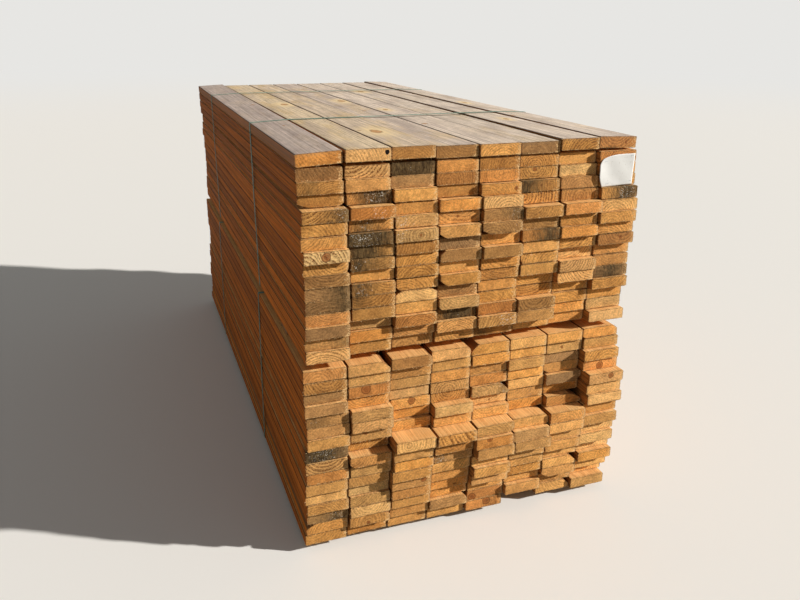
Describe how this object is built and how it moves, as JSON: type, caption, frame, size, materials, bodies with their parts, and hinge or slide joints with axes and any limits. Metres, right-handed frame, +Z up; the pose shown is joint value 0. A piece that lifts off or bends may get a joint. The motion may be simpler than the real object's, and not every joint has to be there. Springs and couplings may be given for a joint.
{
  "type": "stack of lumber",
  "caption": "Strapped packs of dressed softwood boards stacked on spacer strips, with uneven ends, thin green plastic straps and a blank paper tag.",
  "frame": {"origin": "centre of the underside of the middle spacer strip of the lower pack, on the floor", "axes": "+X across the boards, to the right as seen from the tagged ends; +Y along the boards, away from the tagged ends; +Z up"},
  "size_m": [1.1403, 2.5664, 1.3121],
  "materials": {
    "board_wood": "dressed softwood, weathered, rough ends",
    "strip_wood": "rough sawn",
    "strap_plastic": "satin polyester strap",
    "tag_paper": "matt, slightly curled"
  },
  "bodies": {
    "root": {"lower_course_01": "board_wood", "lower_course_02": "board_wood", "lower_course_03": "board_wood", "lower_course_04": "board_wood", "lower_course_05": "board_wood", "lower_course_06": "board_wood", "lower_course_07": "board_wood", "lower_course_08": "board_wood", "lower_course_09": "board_wood", "lower_course_10": "board_wood", "lower_course_11": "board_wood", "lower_course_12": "board_wood", "lower_course_13": "board_wood", "lower_course_14": "board_wood", "lower_course_15": "board_wood", "lower_course_16": "board_wood", "upper_course_01": "board_wood", "upper_course_02": "board_wood", "upper_course_03": "board_wood", "upper_course_04": "board_wood", "upper_course_05": "board_wood", "upper_course_06": "board_wood", "upper_course_07": "board_wood", "upper_course_08": "board_wood", "upper_course_09": "board_wood", "upper_course_10": "board_wood", "upper_course_11": "board_wood", "upper_course_12": "board_wood", "upper_course_13": "board_wood", "upper_course_14": "board_wood", "upper_course_15": "board_wood", "upper_course_16": "board_wood", "lower_strip_1": "strip_wood", "lower_strip_2": "strip_wood", "lower_strip_3": "strip_wood", "upper_strip_1": "strip_wood", "upper_strip_2": "strip_wood", "upper_strip_3": "strip_wood", "lower_strap_1": "strap_plastic", "lower_strap_2": "strap_plastic", "upper_strap_1": "strap_plastic", "upper_strap_2": "strap_plastic", "tag": "tag_paper"}
  },
  "joints": []
}
